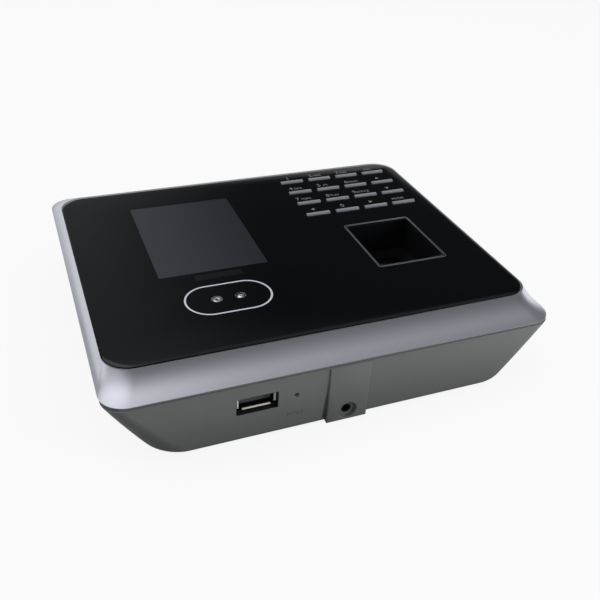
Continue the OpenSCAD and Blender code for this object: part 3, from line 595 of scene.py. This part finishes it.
hollow = bmesh.new()
loft(hollow, [caseRing(case["floor"] + (27.3 - case["floor"]) * t, case["wall"]) for t in (0, 0.5, 1)], steps=24)
bmesh.ops.recalc_face_normals(hollow, faces=hollow.faces)
columns = bmesh.new()
for x, y, radius, high in ((58, 66, 3.6, 23.9), (65, 42, 2.5, 24.6)):
    for side in (-1, 1):
        for end in (-1, 1):
            turned(columns, [(0, 3), (radius, 3), (radius, high), (0, high)], (x * side, y * end, 0), steps=32)
for x in (-48, 48):
    for y, radius, high in ((-46, 7.2, 6.4), (38, 7.2, 6.4), (-60, 3, 12), (24, 3, 12)):
        turned(columns, [(0, 3), (radius, 3), (radius, high), (0, high)], (x, y, 0), steps=32)
block(columns, (-9.3, -76, 3), (9.3, -54.4, 10.6))
block(columns, (-37.9, -15.9, 3), (28.9, 21.9, 11.5))
for y in (-23.6, -1.6):
    block(columns, (36.35, y - 2, 3), (56.35, y + 2, 5.8))
turned(columns, [(10.1, 3), (11.5, 3), (11.5, 6.8), (10.1, 6.8), (10.1, 3)], (34, 58, 0))
carve(hollow, columns)
wallBlock = bmesh.new()
block(wallBlock, (-7.7, -80, 0), (7.7, -70.2, 24.6))
carve(hollow, wallBlock)
carve(mesh, hollow)
print("case shell made")

recess = bmesh.new()
block(recess, (-56.3, -56.3, -2), (56.3, 48.3, 1.7))
carve(mesh, recess)
pocket = bmesh.new()
plate(pocket, (-4.5, 3), 31.5, 17, 0.6, -2, 9.6, steps=4)
block(pocket, (-6.1, -70.2, -2), (6.1, -56.4, 9))
for x in (-30, 30):
    for y in (-34, 30):
        block(pocket, (x - 4.5, y + 0.85 - 5.3, -2), (x + 4.5, y + 0.85, 4.8))
carve(mesh, pocket)
tabRoom = bmesh.new()
block(tabRoom, (-6.1, -60, -2), (6.1, -56, 9))
carve(mesh, tabRoom)
sockets = bmesh.new()
block(sockets, (-32.1, -4, 5), (-15.9, 10, 13))
for x, y, pins in ((-4, 10, 3), (12, 10, 5), (10, -3, 6)):
    half = pins * 1.27 + 1.8
    block(sockets, (x - half, y - 3.3, 5), (x + half, y + 3.3, 13))
carve(mesh, sockets)
drills = bmesh.new()
for x in (-58, 58):
    for y in (-66, 66):
        turned(drills, [(0, -2), (3.35, -2), (3.35, 0), (3.1, 0.25), (3.1, 3), (1.6, 3), (1.6, 30), (0, 30)],
               (x, y, 0))
for x in (-48, 48):
    for y in (-46, 38):
        turned(drills, [(0, -2), (5.6, -2), (5.6, 4.8), (0, 4.8)], (x, y, 0))
    for y in (-60, 24):
        turned(drills, [(0, 5.3), (1.1, 5.3), (1.1, 20), (0, 20)], (x, y, 0), steps=24)
turned(drills, [(0, -2), (1.7, -2), (1.7, 6), (0, 6)], (-50, 8, 0), steps=32)
for i in range(-2, 3):
    for j in range(-2, 3):
        if (i * i + j * j) ** 0.5 < 2.6:
            turned(drills, [(0, -2), (1, -2), (1, 0), (0.8, 0.2), (0.8, 6), (0, 6)], (34 + 3 * i, 58 + 3 * j, 0),
                   steps=20)
carve(mesh, drills)
front = bmesh.new()
turned(front, [(0, -6), (3.7, -6), (3.7, 0), (3.5, 0.15), (3.5, 1.2), (1.9, 1.2), (1.9, 8), (0, 8)],
       (0, -74.3, 4.3), axis="Y")
turned(front, [(0, -6), (0.95, -6), (0.95, 0.6), (0.8, 0.7), (0.8, 8), (0, 8)], (-19.5, -73.95, 16.1), axis="Y",
       steps=32)
block(front, (-40.9, -80, 12.6), (-26.1, -68, 19.5), edge=0.3)
carve(mesh, front)
groove = bmesh.new()
corners = [groove.verts.new(v) for v in
           ((-7.7, -76, -1), (-10.6, -76, -1), (-9.6, -72.6, -1), (-7.7, -72.2, -1),
            (-7.7, -76, 20.5), (-7.75, -76, 20.5), (-7.75, -73.9, 20.5), (-7.7, -73.9, 20.5))]
for side in ((3, 2, 1, 0), (4, 5, 6, 7), (0, 1, 5, 4), (1, 2, 6, 5), (2, 3, 7, 6), (3, 0, 4, 7)):
    groove.faces.new([corners[i] for i in side])
bmesh.ops.recalc_face_normals(groove, faces=groove.faces)
carve(mesh, groove)
addPiece("case_shell", mesh, finishes["grey_case"], ["rear_case"], sharp=30)
# a thin black sleeve lines the lock hole: painted shade for the shade deep inside it
mesh = bmesh.new()
turned(mesh, [(1.88, 1.25), (1.6, 1.25), (1.6, 4.1), (1.88, 4.1), (1.88, 1.25)], (0, -74.3, 4.3), axis="Y")
addPiece("lock_hole_shade_lining", mesh, finishes["camera_plastic"])
mesh = bmesh.new()
lettering(mesh, "RESET", 1.7, (-19.5, -73.6, 8.2), facing="-Y", rise=0.2)
addPiece("reset_label", mesh, finishes["grey_case"])
print("case made")

# the data socket in the bottom wall
usb = {"x": -33.5, "front": -72.5, "sheet": 0.4, "halfX": 6.7, "low": 13.6, "high": 19.3, "lip": 0.9}
mesh = bmesh.new()
block(mesh, (usb["x"] - usb["halfX"], usb["front"] + 0.9, usb["low"]),
      (usb["x"] + usb["halfX"], usb["front"] + 14, usb["high"]), edge=0.3)
bore = bmesh.new()
block(bore, (usb["x"] - usb["halfX"] + usb["sheet"], usb["front"] - 2, usb["low"] + usb["sheet"]),
      (usb["x"] + usb["halfX"] - usb["sheet"], usb["front"] + 13.6, usb["high"] - usb["sheet"]), edge=0.15)
carve(mesh, bore)
addPiece("usb_sleeve", mesh, finishes["socket_steel"], ["usb_shell"])
# rolled lips round the mouth, open at the corners; their near-white colour is a painted highlight for the light on
# the steel
mesh = bmesh.new()
for side in (-1, 1):
    outer = usb["halfX"] + 0.4
    ends = sorted((usb["x"] + side * outer, usb["x"] + side * (outer - usb["lip"])))
    block(mesh, (ends[0], usb["front"], usb["low"] + 0.9), (ends[1], usb["front"] + 0.9, usb["high"] - 1.2),
          edge=0.35, segments=4)
for level in (usb["low"], usb["high"] - 0.55):
    block(mesh, (usb["x"] - usb["halfX"] + 1.7, usb["front"], level),
          (usb["x"] + usb["halfX"] - 1.7, usb["front"] + 0.6, level + 0.55), edge=0.2, segments=4)
addPiece("usb_lips_painted_highlight", mesh, socketLipHighlight)
# a thin black sheet lines the opening's walls: painted shade for the shade inside the opening
mesh = bmesh.new()
block(mesh, (-40.88, -73.7, 12.62), (-26.12, -71.9, 19.48))
window = bmesh.new()
block(window, (-40.7, -80, 12.8), (-26.3, -60, 19.3))
carve(mesh, window)
addPiece("usb_opening_shade_lining", mesh, finishes["camera_plastic"])
mesh = bmesh.new()
low, high = boxOf("usb_tongue")
block(mesh, (usb["x"] - 5.6, low[1], 14.9), (usb["x"] + 5.6, -61, 16.7), edge=0.2)
block(mesh, (usb["x"] - 6.25, -61.95, 14.05), (usb["x"] + 6.25, -58.95, 18.85), edge=0.1)
addPiece("usb_blade", mesh, finishes["tongue_plastic"], ["usb_tongue"])
mesh = bmesh.new()
for x in (-3.5, -1, 1, 3.5):
    block(mesh, (usb["x"] + x - 0.5, low[1] + 0.5, 16.65), (usb["x"] + x + 0.5, -62.1, 16.78), edge=0.03)
addPiece("usb_contacts", mesh, finishes["contact_brass"])
print("data socket made")


def softenedCopy(node, finish, edge):
    # a CAD node with its sharp edges rounded
    mesh = bmesh.new()
    mesh.from_mesh(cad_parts[node].data)
    bmesh.ops.scale(mesh, vec=(1 / mm, 1 / mm, 1 / mm), verts=mesh.verts)
    bmesh.ops.remove_doubles(mesh, verts=mesh.verts, dist=0.002)
    bmesh.ops.dissolve_limit(mesh, angle_limit=radians(0.5), verts=mesh.verts, edges=mesh.edges)
    sharp = [e for e in mesh.edges if len(e.link_faces) == 2 and e.calc_face_angle(0) > radians(50)]
    bmesh.ops.bevel(mesh, geom=sharp, offset=edge, segments=2, profile=0.5, affect="EDGES", material=-1,
                    clamp_overlap=True)
    bmesh.ops.recalc_face_normals(mesh, faces=mesh.faces)
    addPiece(node + "_soft", mesh, finishes[finish], [node])


softenedCopy("wall_plate", "plate_steel", 0.12)
softenedCopy("network_socket", "black_plastic", 0.15)
softenedCopy("cable_headers", "ivory_plastic", 0.12)
softenedCopy("case_screws", "black_screw", 0.1)
print("back details made")

# every CAD piece still shown takes its slot's finish
slots = {"panel_tape": "tape", "display_frame": "display_steel", "display_backlight": "white_plastic",
         "flat_cables": "ribbon_film", "colour_camera": "camera_plastic", "infrared_camera": "camera_plastic",
         "infrared_leds": "led_clear", "keypad_mat": "grey_rubber", "processor_shield": "shield_steel",
         "board_chips": "chip_epoxy", "reset_plunger": "ivory_plastic", "tamper_plunger": "ivory_plastic",
         "header_pins": "contact_brass", "speaker": "speaker_body", "coin_cell": "cell_steel",
         "board_screws": "steel_screw", "camera_board": "board_green", "led_board": "board_green",
         "keypad_board": "board_green", "sensor_board": "board_green", "main_board": "board_green"}
for node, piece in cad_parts.items():
    finish = finishes[slots.get(node, node if node in finishes else "black_plastic")]
    for slot in piece.material_slots:
        slot.material = finish

studio = {"dome": 0.44, "lowFar": 0.05, "lowMiddle": 0.24, "lowRight": 0.12, "highLeft": 0.8,
          "highMiddle": 0.42, "highRight": 0.72, "front": 0.35, "card": 1.6, "corner": 0.12,
          "sweepTop": 0.36, "key": 3.2, "left": 0.7, "right": 3, "floorLeft": 0.12, "floorRight": 0.9,
          "under": 0.45}
scene = bpy.context.scene
scene.view_settings.view_transform = "Standard"
world = bpy.data.worlds.new("studio")
scene.world = world
world.use_nodes = True
nodes, links = world.node_tree.nodes, world.node_tree.links


def mapped(value, fromLow, fromHigh, toLow, toHigh):
    step = nodes.new("ShaderNodeMapRange")
    step.interpolation_type = "SMOOTHSTEP"
    for key, number in (("From Min", fromLow), ("From Max", fromHigh), ("To Min", toLow), ("To Max", toHigh)):
        step.inputs[key].default_value = number
    links.new(value, step.inputs["Value"])
    return step.outputs["Result"]


def combined(kind, first, second):
    step = nodes.new("ShaderNodeMath")
    step.operation = kind
    for socket, value in zip(step.inputs, (first, second)):
        if isinstance(value, (int, float)):
            socket.default_value = value
        else:
            links.new(value, socket)
    return step.outputs["Value"]


# the floor runs up into a white sweep at the back; over and before it the room is dim
place = nodes.new("ShaderNodeTexCoord")
parts = nodes.new("ShaderNodeSeparateXYZ")
links.new(place.outputs["Generated"], parts.inputs["Vector"])
across, deep, up = (parts.outputs[axis] for axis in "XYZ")
low = combined("MULTIPLY", mapped(across, -0.7, -0.25, studio["lowFar"], studio["lowMiddle"]),
               mapped(across, 0, 0.3, 1, studio["lowRight"]))
# a white card low on the right, behind the terminal
card = combined("MULTIPLY", mapped(across, 0.72, 0.95, 0, studio["card"]),
                mapped(deep, 0, 0.25, 0, 1))
card = combined("MULTIPLY", card, mapped(up, 0.25, 0.45, 1, 0))
low = combined("ADD", low, card)
high = combined("ADD", mapped(across, -0.15, 0.25, studio["highLeft"], studio["highMiddle"]),
                mapped(across, 0.48, 0.8, 0, studio["highRight"] - studio["highMiddle"]))
high = combined("MULTIPLY", high, mapped(deep, -0.6, 0.35, studio["front"], 1.1))
rise = mapped(up, 0.58, 0.9, 0, 1)
room = combined("ADD", combined("MULTIPLY", high, rise),
                combined("MULTIPLY", low, combined("SUBTRACT", 1, rise)))
sweep = combined("MULTIPLY", mapped(deep, 0.1, 0.5, 0, 1),
                 mapped(up, studio["sweepTop"] - 0.15, studio["sweepTop"], 1, 0))
sweep = combined("MULTIPLY", sweep, mapped(across, -0.7, -0.4, 0.15, 1))
# the near left of the room is dark
corner = mapped(combined("ADD", across, deep), -0.6, -0.1, studio["corner"], 1)
shine = combined("MULTIPLY", combined("MAXIMUM", room, sweep), corner)
ray = nodes.new("ShaderNodeLightPath")
reflected = combined("MULTIPLY", shine, ray.outputs["Is Glossy Ray"])
matt = combined("MULTIPLY", ray.outputs["Is Diffuse Ray"], studio["dome"])
white = combined("MAXIMUM", ray.outputs["Is Camera Ray"], ray.outputs["Is Transmission Ray"])
strength = combined("MAXIMUM", combined("MAXIMUM", reflected, matt), white)
nodes["Background"].inputs["Color"].default_value = (1, 1, 1, 1)
links.new(strength, nodes["Background"].inputs["Strength"])


def softLight(name, power, width, place, aim=(0, 0, 0.02)):
    lamp = bpy.data.lights.new(name, "AREA")
    lamp.shape = "DISK"
    lamp.size = width
    lamp.energy = power
    stand = bpy.data.objects.new(name, lamp)
    stand.location = place
    stand.rotation_euler = (Vector(aim) - Vector(place)).to_track_quat("-Z", "Y").to_euler()
    scene.collection.objects.link(stand)
    return stand


softLight("keyLight", studio["key"], 1.3, (-0.5, 0.2, 0.9))
softLight("leftLight", studio["left"], 0.5, (-0.8, 0.25, 0.22))
softLight("rightLight", studio["right"], 0.5, (0.6, -0.4, 0.18)).visible_glossy = False

ground = bpy.data.materials.new("paleFloor")
ground.use_nodes = True
nodes, links = ground.node_tree.nodes, ground.node_tree.links
nodes.remove(nodes["Principled BSDF"])
plain = nodes.new("ShaderNodeBsdfDiffuse")
glow = nodes.new("ShaderNodeEmission")
ray = nodes.new("ShaderNodeLightPath")
place = nodes.new("ShaderNodeTexCoord")
parts = nodes.new("ShaderNodeSeparateXYZ")
links.new(place.outputs["Object"], parts.inputs["Vector"])
bounce = mapped(parts.outputs["X"], 0, 0.2, studio["floorLeft"], studio["floorRight"])
paleness = combined("MAXIMUM", combined("MULTIPLY", ray.outputs["Is Camera Ray"], 0.9), bounce)
links.new(paleness, plain.inputs["Color"])
mirrored = combined("MULTIPLY", ray.outputs["Is Glossy Ray"], mapped(parts.outputs["Y"], -0.09, -0.02, 0.08, 0.95))
lift = combined("ADD", combined("MULTIPLY", ray.outputs["Is Camera Ray"], 0.88), mirrored)
# right under the terminal the floor is plain, so no light shows through its holes
under = combined("MULTIPLY", mapped(combined("ABSOLUTE", parts.outputs["X"], 0), 0.06, 0.062, 1, 0),
                 mapped(combined("ABSOLUTE", parts.outputs["Y"], 0), 0.0695, 0.0705, 1, 0))
lift = combined("MULTIPLY", lift, combined("SUBTRACT", 1, under))
# that patch still lights the back from below
unseen = combined("MULTIPLY", combined("SUBTRACT", 1, ray.outputs["Is Camera Ray"]), studio["under"])
lift = combined("ADD", lift, combined("MULTIPLY", under, unseen))
mixed = nodes.new("ShaderNodeMixShader")
links.new(lift, mixed.inputs["Fac"])
links.new(plain.outputs["BSDF"], mixed.inputs[1])
links.new(glow.outputs["Emission"], mixed.inputs[2])
# the floor is open from below, so the back can be seen
clear = nodes.new("ShaderNodeBsdfTransparent")
side = nodes.new("ShaderNodeNewGeometry")
oneSided = nodes.new("ShaderNodeMixShader")
links.new(side.outputs["Backfacing"], oneSided.inputs["Fac"])
links.new(mixed.outputs["Shader"], oneSided.inputs[1])
links.new(clear.outputs["BSDF"], oneSided.inputs[2])
links.new(oneSided.outputs["Shader"], nodes["Material Output"].inputs["Surface"])
mesh = bmesh.new()
bmesh.ops.create_circle(mesh, cap_ends=True, segments=64, radius=3)
data = bpy.data.meshes.new("floor")
mesh.to_mesh(data)
mesh.free()
data.materials.append(ground)
floor = bpy.data.objects.new("floor", data)
floor.location.z = -0.0003  # just clear of the back
scene.collection.objects.link(floor)

lensPiece = bpy.data.cameras.new("camera")
lensPiece.lens = 45.0025
lensPiece.sensor_width = 36
camera = bpy.data.objects.new("camera", lensPiece)
camera.location = (-0.095236, -0.251152, 0.184392)
camera.rotation_euler = [radians(a) for a in (56.08149, -2.68579, -21.08097)]
scene.collection.objects.link(camera)
scene.camera = camera
print("stage set")
